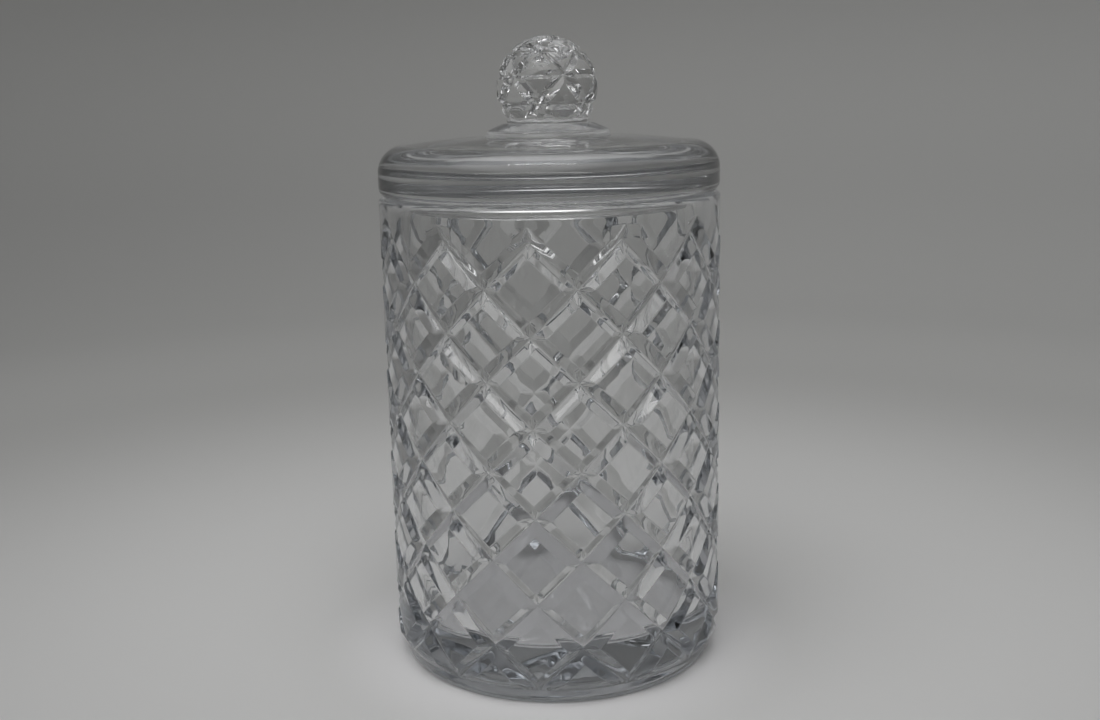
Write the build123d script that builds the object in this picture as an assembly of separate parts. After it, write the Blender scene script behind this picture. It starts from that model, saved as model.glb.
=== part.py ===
from build123d import *
import os
from math import cos, pi, radians, sin

os.makedirs("parts", exist_ok=True)

# A clear glass jar that is pressed with a lattice of V grooves round its wall, with
# a thick loose lid.  A ball finial is bonded to the lid's crown.  The jar stands on
# Z = 0 and its axis is the Z axis.  All sizes are in millimetres.

# Jar body
JAR_RADIUS = 55.6  # over the diamonds
JAR_HEIGHT = 155.0
RIM_WIDTH = 7.6
FLOOR = 17.0
FLOOR_RADIUS = 47.0  # inside; the inside widens evenly from here to the mouth
FLOOR_FILLET = 3.0
RIM_ROUND = 1.4
HEEL_STEPS = ((4.0, 0.0), (2.7, 2.2), (2.5, 5.0), (0.0, 8.2))  # (depth inside the wall, height)

# Lattice: straight V grooves run both ways between crossings, 12 to a row
COLUMNS = 12
PITCH = 28.0  # height of one diamond
TOP_CROSSINGS = 145.0  # height of the top row of crossings
GROOVE_DEPTH = 2.4
BEVEL_SHARE = 0.345  # share of a diamond's half height that its bevel takes

# Lid
LID_RADIUS = 55.4
LID_EDGE = 7.7  # height of the upright edge
LID_SHOULDER = 8.7
LID_CROWN = 18.2  # height of the crown above the seat
LID_HEEL = 3.4
PLUG_CLEARANCE = 0.8  # round the locating ring, in the jar's mouth
PLUG_DEPTH = 4.0
PLUG_WIDTH = 5.5
PLUG_ROUND = 1.0

# Finial
FOOT_RADIUS = 20.5
FOOT_TOP_RADIUS = 19.8
FOOT_EDGE = 2.2
SLOPE_TOP_RADIUS = 14.6
SLOPE_RISE = 2.0
COLLAR_RADIUS = 13.4
COLLAR_RISE = 3.0
BALL_RADIUS = 16.3
BALL_LIFT = 15.4  # centre of the ball above the foot's underside
BALL_GROOVE = 0.5  # depth of the grooves at their crossings
BALL_DIP = 0.7  # how much deeper a groove is halfway between its crossings
BALL_PEAK = 2.0  # how far a facet's pyramid would rise past the ball
STARS = 6
STAR_RINGS = (68.0, 42.0, 13.0, -18.0, -50.0)  # latitude of each ring of crossings
STAR_TURN = -34.0  # direction of the first star, from the -Y side towards +X

MOUTH_RADIUS = JAR_RADIUS - RIM_WIDTH
FOOT_SEAT = JAR_HEIGHT + LID_CROWN


def on_ring(radius, angle, height):
    """Point at an angle from the -Y side, turning towards +X."""
    return Vector(radius * sin(angle), -radius * cos(angle), height)


def on_ball(radius, longitude, latitude):
    """Point on a sphere round the origin."""
    return on_ring(radius * cos(latitude), longitude, radius * sin(latitude))


def closed_skin(polygons):
    """Solid inside a closed skin of flat polygons."""
    faces = [Face(Wire.make_polygon(points)) for points in polygons]
    return Solid(Shell(faces))


def turned(points, *round_corners):
    """Solid of revolution; each round corner is (index of its point, radius)."""
    outline = Polyline(*points, close=True)
    section = make_face(outline)
    for index, radius in round_corners:
        corner = Vector(*points[index])
        vertex = section.vertices().sort_by(lambda v: (Vector(v) - corner).length)[0]
        section = fillet(vertex, radius)
    return revolve(Plane.XZ * section, Axis.Z)


def lattice_core():
    """Ring of pyramids, one to a diamond, that rise past the jar's wall."""
    half_column = pi / COLUMNS
    half_pitch = PITCH / 2
    crossing_radius = JAR_RADIUS - GROOVE_DEPTH
    corner_radius = JAR_RADIUS + 0.1
    peak_radius = JAR_RADIUS + 3.0
    last_row = 11
    rows = range(last_row + 1)
    corner = 1 - BEVEL_SHARE
    lift = BEVEL_SHARE * half_pitch

    def place(radius, row, step):
        return on_ring(radius, step * half_column, TOP_CROSSINGS - row * half_pitch)

    skin = []
    top_height = JAR_HEIGHT + 5.0
    top_outline = []
    for row in rows:
        for column in range(COLUMNS):
            middle = 2 * column + 1 + row % 2
            left = place(crossing_radius, row, middle - 1)
            right = place(crossing_radius, row, middle + 1)
            peak = place(peak_radius, row, middle)
            flat_left = place(corner_radius, row, middle - corner)
            flat_right = place(corner_radius, row, middle + corner)
            if row > 0:
                above = place(crossing_radius, row - 1, middle)
                flat_above = place(corner_radius, row - corner, middle)
                skin += [(left, flat_above, above), (left, flat_left, flat_above)]
                skin += [(above, flat_above, right), (flat_above, flat_right, right)]
                skin += [(flat_left, peak, flat_above), (flat_above, peak, flat_right)]
            else:
                rise_left = on_ring(corner_radius, (middle - 1) * half_column, TOP_CROSSINGS + lift)
                rise_right = on_ring(corner_radius, (middle + 1) * half_column, TOP_CROSSINGS + lift)
                high_left = on_ring(peak_radius, (middle - 1) * half_column, top_height)
                high_middle = on_ring(peak_radius, middle * half_column, top_height)
                high_right = on_ring(peak_radius, (middle + 1) * half_column, top_height)
                skin += [(left, flat_left, rise_left), (right, rise_right, flat_right)]
                skin += [(rise_left, flat_left, peak), (rise_right, peak, flat_right)]
                skin += [(rise_left, peak, high_left), (rise_right, high_right, peak)]
                skin += [(high_left, peak, high_middle), (high_middle, peak, high_right)]
                top_outline += [high_left, high_middle]
            if row < last_row:
                below = place(crossing_radius, row + 1, middle)
                flat_below = place(corner_radius, row + corner, middle)
                skin += [(left, below, flat_below), (left, flat_below, flat_left)]
                skin += [(below, right, flat_below), (flat_below, right, flat_right)]
                skin += [(flat_left, flat_below, peak), (flat_below, flat_right, peak)]
    bottom_outline = []
    for column in range(COLUMNS):
        middle = 2 * column + 1 + last_row % 2
        bottom_outline.append(place(crossing_radius, last_row, middle - 1))
        bottom_outline.append(place(corner_radius, last_row, middle - corner))
        bottom_outline.append(place(peak_radius, last_row, middle))
        bottom_outline.append(place(corner_radius, last_row, middle + corner))
    skin += [tuple(top_outline), tuple(bottom_outline)]
    return closed_skin(skin)


def make_jar_body():
    """Thick-walled cup, cut to the lattice."""
    heel = [(JAR_RADIUS - depth, height) for depth, height in HEEL_STEPS]
    wall = [
        (JAR_RADIUS, JAR_HEIGHT),
        (MOUTH_RADIUS, JAR_HEIGHT),
        (FLOOR_RADIUS, FLOOR),
        (0, FLOOR),
    ]
    rim = 1 + len(heel)
    rounds = [(rim, RIM_ROUND), (rim + 1, RIM_ROUND), (rim + 2, FLOOR_FILLET)]
    cup = turned([(0, 0)] + heel + wall, *rounds)
    return cup & lattice_core()


def make_lid_disc():
    """Thick disc with a rounded shoulder, a low crown and a locating ring beneath."""
    plug_radius = MOUTH_RADIUS - PLUG_CLEARANCE
    shoulder_radius = LID_RADIUS - LID_SHOULDER
    shoulder_height = LID_EDGE + LID_SHOULDER
    points = [
        (0, 0),
        (plug_radius - PLUG_WIDTH, 0),
        (plug_radius - PLUG_WIDTH, -PLUG_DEPTH),
        (plug_radius, -PLUG_DEPTH),
        (plug_radius, 0),
        (LID_RADIUS, 0),
        (LID_RADIUS, shoulder_height),
        (shoulder_radius, shoulder_height),
        (FOOT_RADIUS, LID_CROWN),
        (0, LID_CROWN),
    ]
    rounds = [(2, PLUG_ROUND), (3, PLUG_ROUND), (5, LID_HEEL), (6, LID_SHOULDER - 0.1)]
    return Pos(0, 0, JAR_HEIGHT) * turned(points, *rounds)


def ball_core():
    """Ball of pyramids whose bases meet along the grooves."""
    rings = []
    for index, latitude in enumerate(STAR_RINGS):
        stagger = 0.5 * (index % 2)
        ring = []
        for star in range(STARS):
            longitude = radians(STAR_TURN) + 2 * pi * (star + stagger) / STARS
            ring.append(on_ball(BALL_RADIUS - BALL_GROOVE, longitude, radians(latitude)))
        rings.append(ring)

    def pyramid(*base):
        middle = Vector(0, 0, 0)
        for point in base:
            middle += point
        peak = middle.normalized() * (BALL_RADIUS + BALL_PEAK)
        sides = []
        for start, end in zip(base, base[1:] + base[:1]):
            dip = (start + end).normalized() * (BALL_RADIUS - BALL_GROOVE - BALL_DIP)
            sides += [(start, dip, peak), (dip, end, peak)]
        return sides

    skin = pyramid(*rings[0])
    for index in range(len(rings) - 1):
        upper = rings[index]
        lower = rings[index + 1]
        for star in range(STARS):
            if index % 2 == 0:
                skin += pyramid(upper[star], lower[star], upper[(star + 1) % STARS])
                skin += pyramid(lower[star - 1], lower[star], upper[star])
            else:
                skin += pyramid(lower[star], lower[(star + 1) % STARS], upper[star])
                skin += pyramid(upper[star - 1], lower[star], upper[star])
    skin += pyramid(*reversed(rings[-1]))
    return closed_skin(skin)


def make_finial():
    """Round foot, sloped skirt, collar and star-cut ball, pressed in one piece."""
    slope_bottom = FOOT_EDGE
    slope_top = slope_bottom + SLOPE_RISE
    collar_top = slope_top + COLLAR_RISE
    points = [
        (0, 0),
        (FOOT_RADIUS, 0),
        (FOOT_TOP_RADIUS, slope_bottom),
        (SLOPE_TOP_RADIUS, slope_top),
        (COLLAR_RADIUS, slope_top),
        (COLLAR_RADIUS, collar_top),
        (0, collar_top),
    ]
    foot = turned(points, (2, 0.5), (5, 0.5))
    ball = Sphere(BALL_RADIUS) & ball_core()
    ball = Pos(0, 0, BALL_LIFT) * ball
    cap_height = BALL_LIFT + BALL_RADIUS
    above = Cylinder(BALL_RADIUS + 5, cap_height, align=(Align.CENTER, Align.CENTER, Align.MIN))
    keep = Pos(0, 0, slope_top) * above
    return Pos(0, 0, FOOT_SEAT) * (foot + (ball & keep))


PIECES = {
    "jar_body": make_jar_body,
    "lid_disc": make_lid_disc,
    "finial": make_finial,
}

for name, make in PIECES.items():
    export_step(make(), f"parts/{name}.step")
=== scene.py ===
from math import cos, pi, radians, sin, sqrt

import bmesh
import bpy
import numpy as np
from mathutils import Matrix, Vector, noise


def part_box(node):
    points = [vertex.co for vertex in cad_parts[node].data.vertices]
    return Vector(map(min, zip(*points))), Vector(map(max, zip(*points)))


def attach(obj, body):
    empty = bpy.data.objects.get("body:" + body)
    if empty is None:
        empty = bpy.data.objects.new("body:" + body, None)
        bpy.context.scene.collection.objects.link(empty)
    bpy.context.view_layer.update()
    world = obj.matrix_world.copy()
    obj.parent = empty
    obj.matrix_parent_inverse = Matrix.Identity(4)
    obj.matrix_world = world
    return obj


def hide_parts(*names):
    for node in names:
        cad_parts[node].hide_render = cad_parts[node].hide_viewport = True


# Looks of a clear pressed-glass jar with a loose lid and a ball finial, in metres.  Each
# CAD node gives way to a mesh of the same size, with soft creases and a faintly wavy skin.

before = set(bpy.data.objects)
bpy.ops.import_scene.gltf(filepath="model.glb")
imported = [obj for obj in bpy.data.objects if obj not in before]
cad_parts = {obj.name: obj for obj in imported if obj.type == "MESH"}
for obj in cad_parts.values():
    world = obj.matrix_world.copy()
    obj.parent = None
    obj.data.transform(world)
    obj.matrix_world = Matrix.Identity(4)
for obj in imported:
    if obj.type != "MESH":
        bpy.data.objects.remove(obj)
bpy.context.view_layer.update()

MM = 0.001
TINY = 1e-9
MERGE = 1e-7  # points of a mesh that are closer than this become one

# Sizes that the frame gives.  The jar's, the lid's and the finial's other sizes repeat the CAD's.
_, jar_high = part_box("jar_body")
lid_low, lid_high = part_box("lid_disc")
finial_low, finial_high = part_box("finial")
JAR_RADIUS = jar_high.x
JAR_HEIGHT = jar_high.z
LID_RADIUS = lid_high.x
LID_CROWN = finial_low.z
PLUG_BOTTOM = lid_low.z
FOOT_RADIUS = finial_high.x

# Jar: wall, floor and rim
WALL = 7.6 * MM
FLOOR_RADIUS = 47.0 * MM  # inside; the inside widens evenly from here to the mouth
FLOOR = 17.0 * MM
FLOOR_FILLET = 3.0 * MM
RIM_ROUND = 1.4 * MM
MOUTH_RADIUS = JAR_RADIUS - WALL

# Jar: the heel's steps as (depth inside the wall, height), and the heights of its own rings
HEEL_STEPS = ((4.0 * MM, 0.0), (2.7 * MM, 2.2 * MM), (2.5 * MM, 5.0 * MM), (0.0, 8.2 * MM))
HEEL_RINGS = (4.6 * MM, 3.4 * MM, 2.3 * MM, 2.1 * MM, 1.2 * MM, 0.15 * MM)

# Jar: lattice of V grooves
COLUMNS = 12
ROWS = 10  # half pitches from the top row of crossings to the bottom row
PITCH = 28.0 * MM  # height of one diamond
GROOVE_DEPTH = 2.4 * MM
TOP_CROSSINGS = 145.0 * MM  # height of the top row of crossings
BEVEL = 0.172  # width of a bevel, as a share of the way between two grooves
CREASE = 0.014  # half width of a rounded crease, as the same share
FLAT_STEPS = 6  # cells across a diamond's flat top
CREASE_CELLS = 6  # cells beside a groove that are cut along the creases at a crossing

# Jar: the inside, which is faintly rippled
INNER_ROWS = 44  # rings from the rim down to the floor
INNER_RIPPLE = 0.12 * MM
INNER_RIPPLE_SIZE = 14 * MM

# Lid
LID_EDGE = 7.7 * MM
LID_SHOULDER = 8.7 * MM
LID_HEEL = 3.4 * MM
PLUG_RADIUS = MOUTH_RADIUS - 0.8 * MM
PLUG_WIDTH = 5.5 * MM
PLUG_ROUND = 1.0 * MM
PLUG_SOFT = 0.3 * MM  # how far the soft corners reach where the locating ring meets the disc
CROWN_STEPS = 30
LID_TURNS = 300

# Finial
FOOT_TOP_RADIUS = 19.8 * MM
FOOT_EDGE = 2.2 * MM
SLOPE_TOP_RADIUS = 14.6 * MM
SLOPE_RISE = 2.0 * MM
COLLAR_RADIUS = 13.4 * MM
COLLAR_RISE = 3.0 * MM
FOOT_SOFT = 0.45 * MM  # radius of the foot's and the collar's edges
FOOT_TURNS = 128
BALL_RADIUS = 16.3 * MM
BALL_CENTRE = LID_CROWN + 15.4 * MM
BALL_GROOVE = 0.5 * MM  # at the crossings
BALL_DIP = 0.7 * MM  # how much deeper a groove is halfway between its crossings
BALL_PEAK = 2.0 * MM  # how far a facet's pyramid would rise past the ball
STARS = 6
STAR_RINGS = (68.0, 42.0, 13.0, -18.0, -50.0)  # latitude of each ring of crossings
STAR_TURN = -34.0  # direction of the first star, from the -Y side towards +X
FACET_ALONG = (0, 0.03, 0.12, 0.26, 0.42, 0.58, 0.74, 0.88, 0.97, 1)  # steps along an edge
FACET_CLIMB = (0, 0.06, 0.5, 0.94, 1)  # steps up the bevel from the groove
FACET_INWARD = (0.06, 0.3, 0.6, 0.99)  # steps over the facet to its middle

# Contacts between pieces.  Glass faces that share a plane render wrong, so none do.
AIR_GAP = 0.05 * MM  # under the base, and between the lid and the rim
BOND = 0.05 * MM  # the finial reaches this far into the lid, as clear adhesive joins them

# Stage: a round floor that sweeps up into a wall
STAGE_REACH = 0.95
STAGE_BEND = 0.30
STAGE_TOP = 0.75
STAGE_TURNS = 96
STAGE_GLOW = 0.15
# Painted light and shade on the paper. It is palest under and round the base, painted light that
# lifts the glass's shadow there, and greyer further out as painted shade.
STAGE_PAINTED_LIGHT_TONES = (  # (distance from the middle of the floor, colour)
    (0.045, (0.95, 0.945, 0.95)),
    (0.085, (0.76, 0.76, 0.752)),
    (0.45, (0.45, 0.45, 0.441)),
    (0.85, (0.36, 0.36, 0.353)),
    (1.0, (0.43, 0.43, 0.422)),
)


# ---------------------------------------------------------------- mesh helpers


def mesh_object(name, points, faces):
    """Smooth-shaded mesh object, with normals made to point outwards."""
    mesh = bpy.data.meshes.new(name)
    mesh.from_pydata([tuple(p) for p in points], [], faces)
    bm = bmesh.new()
    bm.from_mesh(mesh)
    bmesh.ops.remove_doubles(bm, verts=bm.verts, dist=MERGE)
    bmesh.ops.recalc_face_normals(bm, faces=bm.faces)
    bm.to_mesh(mesh)
    bm.free()
    mesh.polygons.foreach_set("use_smooth", [True] * len(mesh.polygons))
    piece = bpy.data.objects.new(name, mesh)
    bpy.context.scene.collection.objects.link(piece)
    return piece


def arc(centre, radius, start, end, steps):
    """Points along an arc in the (radius, height) plane; angles in degrees."""
    angles = [radians(start + (end - start) * i / steps) for i in range(steps + 1)]
    return [(centre[0] + radius * cos(a), centre[1] + radius * sin(a)) for a in angles]


def ring_points(radius, height, angles):
    """Points on a level ring; angles run from the -Y side towards +X."""
    return [(radius * sin(a), -radius * cos(a), height) for a in angles]


def full_turn(turns):
    """Angles of evenly spaced places round the axis."""
    return [2 * pi * i / turns for i in range(turns)]


def lathe(name, outline, turns):
    """Solid of revolution from an outline that starts and ends on the axis."""
    angles = full_turn(turns)
    points = [(0, 0, outline[0][1])]
    for radius, height in outline[1:-1]:
        points += ring_points(radius, height, angles)
    points.append((0, 0, outline[-1][1]))
    faces = [(0, 1 + (i + 1) % turns, 1 + i) for i in range(turns)]
    rings = len(outline) - 2
    for ring in range(rings - 1):
        base = 1 + ring * turns
        for i in range(turns):
            j = (i + 1) % turns
            faces.append((base + i, base + j, base + turns + j, base + turns + i))
    base = 1 + (rings - 1) * turns
    last = len(points) - 1
    faces += [(base + i, base + (i + 1) % turns, last) for i in range(turns)]
    return mesh_object(name, points, faces)


# ---------------------------------------------------------------- jar body


def groove_steps():
    """Places across one diamond, from groove to groove, crowded at the creases."""
    edge = [0, CREASE / 2, CREASE, BEVEL / 2, BEVEL - CREASE, BEVEL - CREASE / 2, BEVEL]
    edge += [BEVEL + CREASE / 2, BEVEL + CREASE]
    flat = [edge[-1] + (1 - 2 * edge[-1]) * i / FLAT_STEPS for i in range(1, FLAT_STEPS)]
    return edge + flat + [1 - e for e in reversed(edge[1:])]


def groove_profile(across):
    """Depth under the diamonds at a distance from the nearest groove's centre line."""
    slope = GROOVE_DEPTH / BEVEL
    straight = GROOVE_DEPTH - slope * across
    valley = GROOVE_DEPTH - slope * (across ** 2 / (2 * CREASE) + CREASE / 2)
    ridge = slope * (BEVEL + CREASE - across) ** 2 / (4 * CREASE)
    depth = np.where(across < CREASE, valley, straight)
    depth = np.where(across > BEVEL - CREASE, ridge, depth)
    return np.where(across > BEVEL + CREASE, 0.0, depth)


def groove_distance(column, row):
    """Distance to the nearest groove, with columns and whole pitches as the units."""
    u = column + row
    v = column - row
    from_u = np.abs(u - np.round(u))
    from_v = np.abs(v - np.round(v))
    beside = np.abs(column - np.round(column))
    return np.where(row < 0, beside - row, np.minimum(from_u, from_v))


def heel_radius(height):
    """Radius of the stepped heel, which is the plain wall's above its last step."""
    depths = [depth for depth, _ in HEEL_STEPS]
    heights = [rise for _, rise in HEEL_STEPS]
    return JAR_RADIUS - np.interp(height, heights, depths)


def inner_radius(height):
    """Radius of the inside, which widens evenly from the floor to the mouth."""
    share = (height - FLOOR) / (JAR_HEIGHT - FLOOR)
    return FLOOR_RADIUS + (MOUTH_RADIUS - FLOOR_RADIUS) * share


def ripple(points, size, strength):
    """The points, moved in or out from the axis by a slow noise."""
    moved = []
    for x, y, z in points:
        wave = noise.noise(Vector((x, y, z)) / size) * strength
        share = 1 + wave / sqrt(x * x + y * y)
        moved.append((x * share, y * share, z))
    return moved


def wall_points(columns, rows):
    """Points of the outer wall at lattice places."""
    columns = np.asarray(columns, float)
    rows = np.asarray(rows, float)
    angle = columns * 2 * pi / COLUMNS
    height = TOP_CROSSINGS - rows * PITCH
    radius = JAR_RADIUS - groove_profile(groove_distance(columns, rows))
    radius = np.minimum(radius, heel_radius(height))
    return np.stack([radius * np.sin(angle), -radius * np.cos(angle), height], 1).tolist()


def cell_faces(corners, a, b, count):
    """Faces of one cell of a diamond; near a crossing it is cut along the crease."""
    first, second, third, fourth = corners
    if a == b and (a < CREASE_CELLS or a >= count - CREASE_CELLS):
        return [(first, second, third), (first, third, fourth)]
    if a + b == count - 1 and (a < CREASE_CELLS or b < CREASE_CELLS):
        return [(first, second, fourth), (second, third, fourth)]
    return [corners]


class JarSkin:
    """Skin of the jar: the lattice first, and then rings that close it above and below."""

    def __init__(self):
        self.steps = groove_steps()
        self.count = len(self.steps) - 1
        self.around = COLUMNS * self.count
        self.span = ROWS * self.count
        self.index_of = {}
        self.columns = []
        self.rows = []
        self.faces = []
        self.make_lattice()
        self.points = wall_points(self.columns, self.rows)

    def place(self, index):
        """Distance of a step from the first groove, with diamonds as the unit."""
        return index // self.count + self.steps[index % self.count]

    def vertex(self, i, j):
        """Index of the point at step i along one family of grooves and j along the other."""
        lap = j // self.around
        key = (i - lap * self.around, j % self.around)
        if key not in self.index_of:
            self.index_of[key] = len(self.columns)
            u = self.place(key[0])
            v = self.place(key[1])
            self.columns.append((u + v) / 2)
            self.rows.append((u - v) / 2)
        return self.index_of[key]

    def make_lattice(self):
        """Faces between the top and the bottom row of crossings."""
        vertex = self.vertex
        for j in range(self.around):
            self.faces.append((vertex(j, j), vertex(j + 1, j), vertex(j + 1, j + 1)))
            for i in range(j + 1, j + self.span):
                corners = (vertex(i, j), vertex(i + 1, j), vertex(i + 1, j + 1), vertex(i, j + 1))
                self.faces += cell_faces(corners, i % self.count, j % self.count, self.count)
            last = j + self.span
            self.faces.append((vertex(last, j), vertex(last + 1, j + 1), vertex(last, j + 1)))

    def add_ring(self, points, below, upward=True):
        """Adds a ring of points, and faces from the ring below it; gives the new ring."""
        start = len(self.points)
        self.points.extend(points)
        ring = list(range(start, start + self.around))
        for k in range(self.around):
            after = (k + 1) % self.around
            face = (below[k], below[after], ring[after], ring[k])
            self.faces.append(face if upward else face[::-1])
        return ring

    def close(self, ring, height, upward=True):
        """Closes a ring with a point on the axis."""
        centre = len(self.points)
        self.points.append((0, 0, height))
        for k in range(self.around):
            face = (ring[k], ring[(k + 1) % self.around], centre)
            self.faces.append(face if upward else face[::-1])


def round_ring(radius, height, places):
    """Level ring at lattice places, with columns as their unit."""
    return ring_points(radius, height, [p * 2 * pi / COLUMNS for p in places])


def rim_profile(rim_centre):
    """Outer corner, flat top and inner corner of the rim."""
    profile = arc((JAR_RADIUS - RIM_ROUND, rim_centre), RIM_ROUND, 0, 90, 5)
    profile += [(JAR_RADIUS - WALL / 2, JAR_HEIGHT - AIR_GAP)]
    profile += arc((MOUTH_RADIUS + RIM_ROUND, rim_centre), RIM_ROUND, 90, 180, 5)
    return profile


def close_above(skin):
    """From the top crossings up the plain band, over the rim, down inside and over the floor."""
    ring = [skin.vertex(k, k) for k in range(skin.around)]
    places = [skin.place(k) for k in range(skin.around)]
    for rise in [s for s in skin.steps if 0 < s <= BEVEL + CREASE + TINY]:
        ring = skin.add_ring(wall_points(places, [-rise] * skin.around), ring)
    rim_centre = JAR_HEIGHT - RIM_ROUND - AIR_GAP
    for radius, height in rim_profile(rim_centre):
        ring = skin.add_ring(round_ring(radius, height, places), ring)
    floor_top = FLOOR + FLOOR_FILLET
    for i in range(1, INNER_ROWS + 1):
        height = rim_centre + (floor_top - rim_centre) * i / INNER_ROWS
        inner = round_ring(inner_radius(height), height, places)
        ring = skin.add_ring(ripple(inner, INNER_RIPPLE_SIZE, INNER_RIPPLE), ring)
    corner = (FLOOR_RADIUS - FLOOR_FILLET, floor_top)
    for radius, height in arc(corner, FLOOR_FILLET, 0, -90, 8)[1:]:
        ring = skin.add_ring(round_ring(radius, height, places), ring)
    for share in (0.75, 0.5, 0.25, 0.05):
        ring = skin.add_ring(round_ring(corner[0] * share, FLOOR, places), ring)
    skin.close(ring, FLOOR)


def close_below(skin):
    """From the bottom crossings down over the heel and in under the base."""
    ring = [skin.vertex(k + skin.span, k) for k in range(skin.around)]
    places = [skin.place(k) + ROWS / 2 for k in range(skin.around)]
    base_radius = float(heel_radius(0))
    heel = [(float(heel_radius(height)), height) for height in HEEL_RINGS]
    heel += [(base_radius - 0.2 * MM, 0.0)]
    heel += [(base_radius * share, 0.0) for share in (0.95, 0.6, 0.3, 0.05)]
    for radius, height in heel:
        ring = skin.add_ring(round_ring(radius, height, places), ring, upward=False)
    skin.close(ring, 0.0, upward=False)


def make_jar_body():
    """Thick cup of clear glass with the lattice pressed into its wall."""
    skin = JarSkin()
    close_above(skin)
    close_below(skin)
    return mesh_object("jar_body_glass", skin.points, skin.faces)


# ---------------------------------------------------------------- lid


def make_lid():
    """Thick disc with a rounded shoulder, a low crown and a locating ring beneath."""
    seat = JAR_HEIGHT
    ring_inside = PLUG_RADIUS - PLUG_WIDTH
    outline = [(0, seat), (ring_inside * 0.5, seat), (ring_inside - PLUG_SOFT, seat)]
    outline += [(ring_inside, seat - PLUG_SOFT)]
    low = PLUG_BOTTOM + PLUG_ROUND
    outline += arc((ring_inside + PLUG_ROUND, low), PLUG_ROUND, 180, 270, 5)
    outline += arc((PLUG_RADIUS - PLUG_ROUND, low), PLUG_ROUND, 270, 360, 5)
    outline += [(PLUG_RADIUS, seat - PLUG_SOFT), (PLUG_RADIUS + PLUG_SOFT, seat)]
    outline += arc((LID_RADIUS - LID_HEEL, seat + LID_HEEL), LID_HEEL, 270, 360, 40)
    shoulder = (LID_RADIUS - LID_SHOULDER, seat + LID_EDGE)
    outline += arc(shoulder, LID_SHOULDER, 0, 88, 60)
    edge_radius, edge_height = outline[-1]
    for i in range(1, CROWN_STEPS + 1):
        share = i / CROWN_STEPS
        height = edge_height + (LID_CROWN - edge_height) * sin(share * pi / 2)
        outline.append((edge_radius * (1 - share) + FOOT_RADIUS * 0.9 * share, height))
    outline += [(FOOT_RADIUS * 0.4, LID_CROWN), (0, LID_CROWN)]
    return lathe("lid_disc_glass", outline, LID_TURNS)


# ---------------------------------------------------------------- finial


def star_rings():
    """Crossings of the ball's grooves, ring by ring, from the ball's centre."""
    rings = []
    for index, latitude in enumerate(STAR_RINGS):
        stagger = 0.5 * (index % 2)
        radius = BALL_RADIUS - BALL_GROOVE
        ring = []
        for star in range(STARS):
            longitude = radians(STAR_TURN) + 2 * pi * (star + stagger) / STARS
            out = radius * cos(radians(latitude))
            height = radius * sin(radians(latitude))
            ring.append(Vector((out * sin(longitude), -out * cos(longitude), height)))
        rings.append(ring)
    return rings


def ball_cells():
    """Corners of every cell of the ball's net of grooves."""
    rings = star_rings()
    cells = [rings[0]]
    for index in range(len(rings) - 1):
        upper = rings[index]
        lower = rings[index + 1]
        for star in range(STARS):
            after = (star + 1) % STARS
            if index % 2 == 0:
                cells.append([upper[star], lower[star], upper[after]])
                cells.append([lower[star - 1], lower[star], upper[star]])
            else:
                cells.append([lower[star], lower[after], upper[star]])
                cells.append([upper[star - 1], lower[star], upper[star]])
    cells.append(list(reversed(rings[-1])))
    return cells


def facet_column(start, end, share, peak):
    """Points from the groove up the bevel, and on over the ball towards the facet's middle."""
    dip = BALL_DIP * (1 - (2 * share - 1) ** 2)
    foot = start.lerp(end, share).normalized() * (BALL_RADIUS - BALL_GROOVE - dip)
    climb = peak - foot
    a = climb.length_squared
    b = foot.dot(climb)
    c = foot.length_squared - BALL_RADIUS ** 2
    crest = (-b + sqrt(b * b - a * c)) / a  # where the climb comes out of the ball
    column = [foot + climb * (crest * step) for step in FACET_CLIMB]
    top = column[-1]
    return column + [top.lerp(peak, step).normalized() * BALL_RADIUS for step in FACET_INWARD]


def ball_cell_mesh(corners, points, faces):
    """Adds one raised facet of the ball and the bevels round it."""
    middle = sum(corners, Vector())
    peak = middle.normalized() * (BALL_RADIUS + BALL_PEAK)
    height = len(FACET_CLIMB) + len(FACET_INWARD)
    for start, end in zip(corners, corners[1:] + corners[:1]):
        base = len(points)
        for share in FACET_ALONG:
            points.extend(facet_column(start, end, share, peak))
        for i in range(len(FACET_ALONG) - 1):
            for j in range(height - 1):
                low = base + i * height + j
                faces.append((low, low + height, low + height + 1, low + 1))
            tip = len(points)
            points.append(peak.normalized() * BALL_RADIUS)
            faces.append((base + (i + 1) * height - 1, base + (i + 2) * height - 1, tip))


def make_ball():
    """Star-cut ball, cut off level where the foot's slope ends."""
    points = []
    faces = []
    for corners in ball_cells():
        ball_cell_mesh(corners, points, faces)
    centre = Vector((0, 0, BALL_CENTRE))
    ball = mesh_object("ball", [p + centre for p in points], faces)
    cut = LID_CROWN + FOOT_EDGE + SLOPE_RISE
    bm = bmesh.new()
    bm.from_mesh(ball.data)
    whole = bm.verts[:] + bm.edges[:] + bm.faces[:]
    bmesh.ops.bisect_plane(bm, geom=whole, plane_co=(0, 0, cut), plane_no=(0, 0, 1), clear_inner=True)
    rim = [edge for edge in bm.edges if edge.is_boundary]
    bmesh.ops.contextual_create(bm, geom=rim)
    bmesh.ops.recalc_face_normals(bm, faces=bm.faces)
    bm.to_mesh(ball.data)
    bm.free()
    return ball


def fuse(piece, other):
    """Joins another piece's mesh to the first and removes that piece."""
    union = piece.modifiers.new("union", "BOOLEAN")
    union.operation = "UNION"
    union.solver = "EXACT"
    union.object = other
    bpy.context.view_layer.update()
    depsgraph = bpy.context.evaluated_depsgraph_get()
    joined = bpy.data.meshes.new_from_object(piece.evaluated_get(depsgraph))
    joined.polygons.foreach_set("use_smooth", [True] * len(joined.polygons))
    piece.modifiers.clear()
    piece.data = joined
    bpy.data.objects.remove(other)


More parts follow.
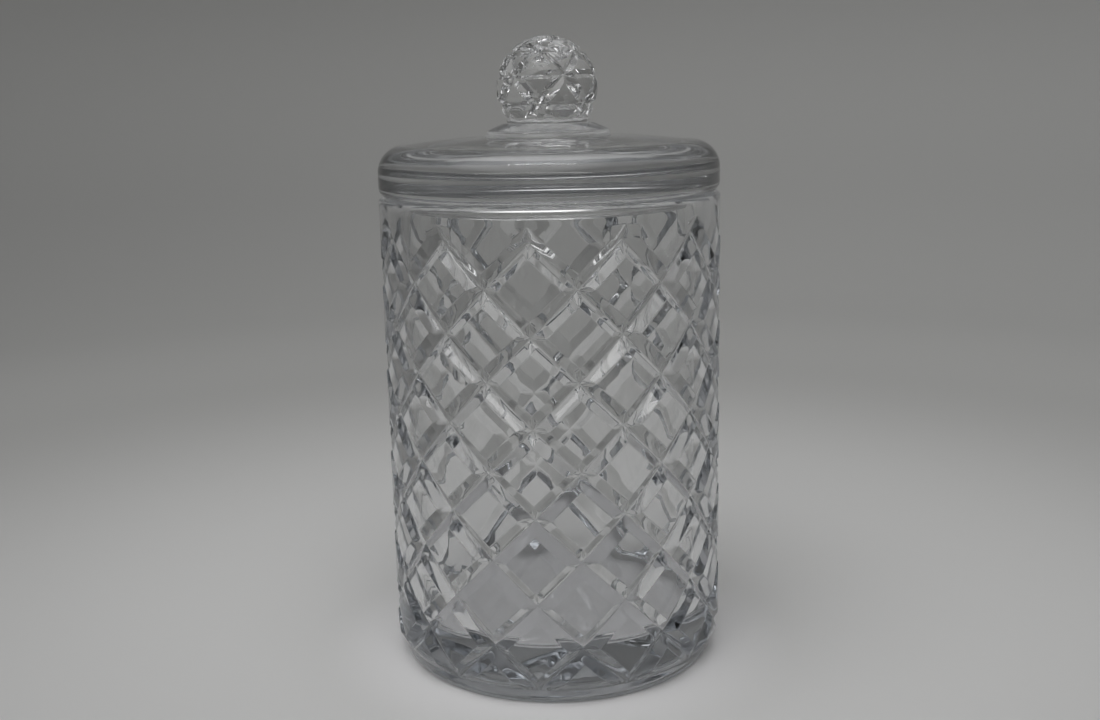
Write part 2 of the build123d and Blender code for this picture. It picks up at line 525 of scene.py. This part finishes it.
def make_finial():
    """Round foot, sloped skirt, collar and star-cut ball, pressed in one piece."""
    base = LID_CROWN - BOND
    edge = LID_CROWN + FOOT_EDGE
    slope = edge + SLOPE_RISE
    collar = slope + COLLAR_RISE
    soft = FOOT_SOFT
    outline = [(0, base), (FOOT_RADIUS * 0.5, base), (FOOT_RADIUS - 0.3 * soft, base)]
    outline += [(FOOT_RADIUS, base + 0.3 * soft)]
    outline += [(FOOT_TOP_RADIUS, edge - soft)]
    outline += arc((FOOT_TOP_RADIUS - soft, edge - soft), soft, 20, 78, 4)
    outline += [(SLOPE_TOP_RADIUS + soft, slope - 0.2 * soft), (SLOPE_TOP_RADIUS - soft, slope)]
    outline += [(COLLAR_RADIUS + 0.2 * soft, slope + 0.1 * soft), (COLLAR_RADIUS, slope + 0.5 * soft)]
    outline += arc((COLLAR_RADIUS - soft, collar - soft), soft, 0, 90, 5)
    outline += [(COLLAR_RADIUS * 0.4, collar), (0, collar)]
    foot = lathe("finial_glass", outline, FOOT_TURNS)
    fuse(foot, make_ball())
    foot.data.set_sharp_from_angle(angle=radians(30))
    return foot


# ---------------------------------------------------------------- materials


def map_range(nodes, from_low, from_high, to_low, to_high):
    """Node that maps one range of values onto another."""
    node = nodes.new("ShaderNodeMapRange")
    node.inputs["From Min"].default_value = from_low
    node.inputs["From Max"].default_value = from_high
    node.inputs["To Min"].default_value = to_low
    node.inputs["To Max"].default_value = to_high
    return node


def eased_ramp(nodes, *stops):
    """Node with a soft ramp of colours; each stop is (place, colour)."""
    node = nodes.new("ShaderNodeValToRGB")
    node.color_ramp.interpolation = "EASE"
    elements = node.color_ramp.elements
    for element, (position, colour) in zip(elements, (stops[0], stops[-1])):
        element.position = position
        element.color = (*colour, 1)
    for position, colour in stops[1:-1]:
        elements.new(position).color = (*colour, 1)
    return node


def glass(name, ripple_size, ripple_depth, haze_roughness, darkening):
    """Clear fire-polished glass with a faintly uneven skin."""
    material = bpy.data.materials.new(name)
    material.use_nodes = True
    nodes = material.node_tree.nodes
    links = material.node_tree.links
    shader = nodes["Principled BSDF"]
    shader.inputs["Base Color"].default_value = (0.996, 0.997, 0.996, 1)
    shader.inputs["Transmission Weight"].default_value = 1.0
    shader.inputs["IOR"].default_value = 1.52
    place = nodes.new("ShaderNodeTexCoord")
    waves = nodes.new("ShaderNodeTexNoise")
    waves.inputs["Scale"].default_value = 1 / ripple_size
    waves.inputs["Detail"].default_value = 1.0
    bump = nodes.new("ShaderNodeBump")
    bump.inputs["Strength"].default_value = 1.0
    bump.inputs["Distance"].default_value = ripple_depth
    links.new(place.outputs["Object"], waves.inputs["Vector"])
    links.new(waves.outputs["Fac"], bump.inputs["Height"])
    links.new(bump.outputs["Normal"], shader.inputs["Normal"])
    haze = nodes.new("ShaderNodeTexNoise")
    haze.inputs["Scale"].default_value = 90
    haze.inputs["Detail"].default_value = 4.0
    spread = map_range(nodes, 0.35, 0.75, 0.0, haze_roughness)
    links.new(place.outputs["Object"], haze.inputs["Vector"])
    links.new(haze.outputs["Fac"], spread.inputs["Value"])
    links.new(spread.outputs["Result"], shader.inputs["Roughness"])
    depth = nodes.new("ShaderNodeVolumeAbsorption")
    depth.inputs["Color"].default_value = (0.79, 0.803, 0.82, 1)
    depth.inputs["Density"].default_value = darkening
    links.new(depth.outputs["Volume"], nodes["Material Output"].inputs["Volume"])
    return material


def stage_material():
    """Paper with painted light and shade. It is pale round the object as a painted pool of light,
    grey further out and a little darker up the wall as painted shade, and it glows faintly under the
    base.

    The glow stands for the light that the glass gathers there.
    """
    material = bpy.data.materials.new("stage_paper_painted_light")
    material.use_nodes = True
    nodes = material.node_tree.nodes
    links = material.node_tree.links
    shader = nodes["Principled BSDF"]
    shader.inputs["Roughness"].default_value = 0.9
    shader.inputs["Specular IOR Level"].default_value = 0.1
    shader.inputs["Emission Color"].default_value = (1.0, 0.985, 1.0, 1)
    place = nodes.new("ShaderNodeNewGeometry")
    length = nodes.new("ShaderNodeVectorMath")
    length.operation = "LENGTH"
    # Painted light: the paper's tones by distance from the middle, palest round the base.
    ramp = eased_ramp(nodes, *STAGE_PAINTED_LIGHT_TONES)
    under = map_range(nodes, 0.044, 0.050, STAGE_GLOW, 0.0)  # out before the base's edge
    parts = nodes.new("ShaderNodeSeparateXYZ")
    # Painted shade: the paper is a little darker up the wall.
    painted_wall_shade = map_range(nodes, 0.28, 0.60, 1.0, 0.8)  # a little darker up the wall
    shade = nodes.new("ShaderNodeVectorMath")
    shade.operation = "SCALE"
    links.new(place.outputs["Position"], length.inputs[0])
    links.new(place.outputs["Position"], parts.inputs["Vector"])
    links.new(length.outputs["Value"], ramp.inputs["Fac"])
    links.new(length.outputs["Value"], under.inputs["Value"])
    links.new(under.outputs["Result"], shader.inputs["Emission Strength"])
    links.new(parts.outputs["Z"], painted_wall_shade.inputs["Value"])
    links.new(ramp.outputs["Color"], shade.inputs[0])
    links.new(painted_wall_shade.outputs["Result"], shade.inputs["Scale"])
    links.new(shade.outputs["Vector"], shader.inputs["Base Color"])
    return material


# ---------------------------------------------------------------- stage, lights, camera


def make_stage():
    """Floor that sweeps up all round into a low wall, its paper painted pale near the object and grey
    further out as painted light and shade.
    """
    floor = -AIR_GAP
    flat = STAGE_REACH - STAGE_BEND
    outline = [(0, floor), (0.1, floor), (0.3, floor), (flat, floor)]
    outline += arc((flat, STAGE_BEND + floor), STAGE_BEND, -90, 0, 16)[1:]
    outline += [(STAGE_REACH, STAGE_TOP)]
    turns = STAGE_TURNS
    angles = full_turn(turns)
    points = [(0, 0, floor)]
    for radius, height in outline[1:]:
        points += ring_points(radius, height, angles)
    faces = [(0, 1 + i, 1 + (i + 1) % turns) for i in range(turns)]
    for ring in range(len(outline) - 2):
        base = 1 + ring * turns
        for i in range(turns):
            j = (i + 1) % turns
            faces.append((base + i, base + turns + i, base + turns + j, base + j))
    mesh = bpy.data.meshes.new("stage_sweep")
    mesh.from_pydata(points, [], faces)
    mesh.polygons.foreach_set("use_smooth", [True] * len(mesh.polygons))
    mesh.materials.append(stage_material())
    stage = bpy.data.objects.new("stage_sweep", mesh)
    bpy.context.scene.collection.objects.link(stage)


def softbox(name, place, target, width, height, power):
    """Area lamp that faces the target and that the camera can't see."""
    light = bpy.data.lights.new(name, "AREA")
    light.shape = "RECTANGLE"
    light.size = width
    light.size_y = height
    light.energy = power
    lamp = bpy.data.objects.new(name, light)
    lamp.location = place
    lamp.rotation_euler = (Vector(target) - Vector(place)).to_track_quat("-Z", "Y").to_euler()
    lamp.visible_camera = False
    bpy.context.scene.collection.objects.link(lamp)


def make_world():
    """Dim grey surroundings with one broad soft light, overhead in front and a little left."""
    world = bpy.data.worlds.new("studio")
    world.use_nodes = True
    nodes = world.node_tree.nodes
    links = world.node_tree.links
    sky = nodes["Background"]
    sky.inputs["Strength"].default_value = 1.0
    direction = nodes.new("ShaderNodeTexCoord")
    towards = nodes.new("ShaderNodeVectorMath")
    towards.operation = "DOT_PRODUCT"
    towards.inputs[1].default_value = Vector((-0.12, -0.42, 0.87)).normalized()
    ramp = eased_ramp(nodes, (0.70, (0.13, 0.13, 0.131)), (0.93, (1.5, 1.5, 1.505)))
    links.new(direction.outputs["Generated"], towards.inputs[0])
    links.new(towards.outputs["Value"], ramp.inputs["Fac"])
    links.new(ramp.outputs["Color"], sky.inputs["Color"])
    bpy.context.scene.world = world


def make_camera():
    """Camera in front, a little above the rim and swung round the jar by a few degrees."""
    distance = 420 * MM
    height = JAR_HEIGHT + 35.5 * MM
    swing = radians(6.8)
    pitch = radians(12.312)
    yaw = radians(-0.133)
    roll = radians(-1.253)
    lens = bpy.data.cameras.new("camera")
    lens.sensor_width = 36
    lens.lens = 41.8
    camera = bpy.data.objects.new("camera", lens)
    heading = yaw - swing
    forward = Vector((sin(heading) * cos(pitch), cos(heading) * cos(pitch), -sin(pitch)))
    right = Vector((cos(heading), -sin(heading), 0))
    up = right.cross(forward)
    rolled_right = right * cos(roll) + up * sin(roll)
    rolled_up = up * cos(roll) - right * sin(roll)
    turn = Matrix((rolled_right, rolled_up, -forward)).transposed()
    place = Vector((distance * sin(swing), -distance * cos(swing), height))
    camera.matrix_world = Matrix.Translation(place) @ turn.to_4x4()
    bpy.context.scene.collection.objects.link(camera)
    bpy.context.scene.camera = camera


def light_scene():
    """Two strips in front, which the lid and the ball mirror."""
    target = (0, 0, 0.16)
    softbox("high_strip", (0.0, -0.55, 1.2), target, width=0.7, height=0.02, power=0.9)
    softbox("low_strip", (-0.03, -0.50, 0.42), target, width=0.8, height=0.03, power=0.26)


make_camera()
make_stage()
make_world()
light_scene()

jar = make_jar_body()
lid = make_lid()
finial = make_finial()

pressed = glass(
    "pressed_glass",
    ripple_size=14 * MM,
    ripple_depth=0.05 * MM,
    haze_roughness=0.02,
    darkening=24.0,
)
polished = glass(
    "polished_glass",
    ripple_size=45 * MM,
    ripple_depth=0.01 * MM,
    haze_roughness=0.005,
    darkening=7.0,
)
for piece, node, body, material in (
    (jar, "jar_body", "jar", pressed),
    (lid, "lid_disc", "lid", polished),
    (finial, "finial", "lid", polished),
):
    piece.data.materials.clear()
    piece.data.materials.append(material)
    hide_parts(node)
    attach(piece, body)

scene = bpy.context.scene
scene.view_settings.view_transform = "Standard"

# A ray crosses many faces of glass before it leaves the jar
scene.cycles.max_bounces = 32
scene.cycles.transmission_bounces = 32
scene.cycles.glossy_bounces = 16
